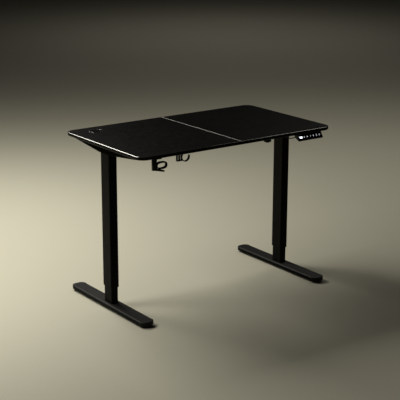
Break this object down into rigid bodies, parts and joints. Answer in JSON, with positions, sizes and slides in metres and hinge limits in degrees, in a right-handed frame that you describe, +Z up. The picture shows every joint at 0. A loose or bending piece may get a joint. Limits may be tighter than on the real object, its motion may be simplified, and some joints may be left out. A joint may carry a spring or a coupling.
{
  "type": "height adjustable standing desk",
  "caption": "Electric sit-stand desk: two-piece round-cornered top, pair of telescopic columns on flat feet, under-top drive, front controller, cable grommet and hooks.",
  "frame": {"origin": "on the floor, midway between the two columns, under the middle of the board", "axes": "+X along the desk to the right, -Y towards the user, +Z up"},
  "size_m": [1.016, 0.608, 0.7295],
  "materials": {
    "board_laminate": "satin black laminate on particle board",
    "edge_band": "black plastic edge band with rounded edges",
    "powder_coat": "fine-textured black powder coat on steel",
    "black_plastic": "moulded black plastic with a fine grain",
    "gloss_plastic": "glossy black plastic",
    "display": "lit white display behind a dark window",
    "zinc_steel": "zinc-plated or bright steel",
    "brass": "turned brass",
    "nylon": "natural nylon",
    "cast_alloy": "as-cast aluminium alloy",
    "rubber": "black rubber pad on a steel stud",
    "cable": "soft black cable sheath"
  },
  "bodies": {
    "base": {"foot_left": "powder_coat", "foot_right": "powder_coat", "foot_cap_left_front": "black_plastic", "foot_cap_left_rear": "black_plastic", "foot_cap_right_front": "black_plastic", "foot_cap_right_rear": "black_plastic", "column_plates": "zinc_steel", "foot_bolts": "zinc_steel", "inner_tube_left": "powder_coat", "inner_tube_right": "powder_coat", "lead_nuts": "nylon", "inner_glides": "nylon"},
    "lead_left": {"lead_screw_left": "zinc_steel", "screw_gear_left": "zinc_steel"},
    "lead_right": {"lead_screw_right": "zinc_steel", "screw_gear_right": "zinc_steel"},
    "cross_shaft": {"drive_shaft": "zinc_steel", "shaft_gears": "zinc_steel", "worm_wheel": "brass"},
    "worm": {"worm_shaft": "zinc_steel"},
    "lid": {"grommet_cap": "gloss_plastic"},
    "leveller_left_front": {"leveller_left_front": "rubber"},
    "leveller_left_rear": {"leveller_left_rear": "rubber"},
    "leveller_right_front": {"leveller_right_front": "rubber"},
    "leveller_right_rear": {"leveller_right_rear": "rubber"},
    "key_up": {"button_up": "gloss_plastic"},
    "key_down": {"button_down": "gloss_plastic"},
    "key_one": {"button_one": "gloss_plastic"},
    "key_two": {"button_two": "gloss_plastic"},
    "key_three": {"button_three": "gloss_plastic"},
    "key_lock": {"button_lock": "gloss_plastic"},
    "top": {"bag_hook": "black_plastic", "control_box": "black_plastic", "controller_cable": "cable", "controller_face": "gloss_plastic", "controller_housing": "black_plastic", "cross_rail_front": "powder_coat", "cross_rail_rear": "powder_coat", "desktop_left_panel": "board_laminate", "desktop_right_panel": "board_laminate", "display_window": "display", "edge_band_left": "edge_band", "edge_band_right": "edge_band", "frame_bolts": "zinc_steel", "gearbox_left": "cast_alloy", "gearbox_right": "cast_alloy", "grommet_sleeve": "black_plastic", "headphone_hook": "black_plastic", "joining_plates": "zinc_steel", "motor_can": "powder_coat", "motor_gearbox": "cast_alloy", "outer_glides": "nylon", "outer_tube_left": "powder_coat", "outer_tube_right": "powder_coat", "power_inlet": "black_plastic", "screw_bearings": "zinc_steel", "side_bracket_left": "powder_coat", "side_bracket_right": "powder_coat", "wood_screws": "zinc_steel"}
  },
  "joints": [
    {"name": "lift", "type": "slide", "parent": "base", "child": "top", "axis": [0, 0, 1], "range_m": [0, 0.45]},
    {"name": "lead_left_spin", "type": "hinge", "parent": "top", "child": "lead_left", "pos_m": [-0.468, 0, 0.6], "axis": [0, 0, 1], "continuous": true},
    {"name": "lead_right_spin", "type": "hinge", "parent": "top", "child": "lead_right", "pos_m": [0.468, 0, 0.6], "axis": [0, 0, 1], "continuous": true},
    {"name": "cross_shaft_spin", "type": "hinge", "parent": "top", "child": "cross_shaft", "pos_m": [0, 0, 0.688], "axis": [1, 0, 0], "continuous": true},
    {"name": "worm_spin", "type": "hinge", "parent": "top", "child": "worm", "pos_m": [0.366, -0.0222, 0.66], "axis": [0, 0, 1], "continuous": true},
    {"name": "lid_lift", "type": "slide", "parent": "top", "child": "lid", "axis": [0, 0, 1], "range_m": [0, 0.02]},
    {"name": "leveller_left_front_screw", "type": "slide", "parent": "base", "child": "leveller_left_front", "axis": [0, 0, -1], "range_m": [0, 0.01]},
    {"name": "leveller_left_rear_screw", "type": "slide", "parent": "base", "child": "leveller_left_rear", "axis": [0, 0, -1], "range_m": [0, 0.01]},
    {"name": "leveller_right_front_screw", "type": "slide", "parent": "base", "child": "leveller_right_front", "axis": [0, 0, -1], "range_m": [0, 0.01]},
    {"name": "leveller_right_rear_screw", "type": "slide", "parent": "base", "child": "leveller_right_rear", "axis": [0, 0, -1], "range_m": [0, 0.01]},
    {"name": "press_up", "type": "slide", "parent": "top", "child": "key_up", "axis": [0, 0.837, -0.5472], "range_m": [0, 0.0006], "stiffness_N_per_m": 2000},
    {"name": "press_down", "type": "slide", "parent": "top", "child": "key_down", "axis": [0, 0.837, -0.5472], "range_m": [0, 0.0006], "stiffness_N_per_m": 2000},
    {"name": "press_one", "type": "slide", "parent": "top", "child": "key_one", "axis": [0, 0.837, -0.5472], "range_m": [0, 0.0006], "stiffness_N_per_m": 2000},
    {"name": "press_two", "type": "slide", "parent": "top", "child": "key_two", "axis": [0, 0.837, -0.5472], "range_m": [0, 0.0006], "stiffness_N_per_m": 2000},
    {"name": "press_three", "type": "slide", "parent": "top", "child": "key_three", "axis": [0, 0.837, -0.5472], "range_m": [0, 0.0006], "stiffness_N_per_m": 2000},
    {"name": "press_lock", "type": "slide", "parent": "top", "child": "key_lock", "axis": [0, 0.837, -0.5472], "range_m": [0, 0.0006], "stiffness_N_per_m": 2000}
  ],
  "couplings": [
    {"joint": "lead_left_spin", "follows": "lift", "rad_per_m": 785.4},
    {"joint": "lead_right_spin", "follows": "lift", "rad_per_m": -785.4},
    {"joint": "cross_shaft_spin", "follows": "lift", "rad_per_m": 785.4},
    {"joint": "worm_spin", "follows": "lift", "rad_per_m": 7854}
  ]
}
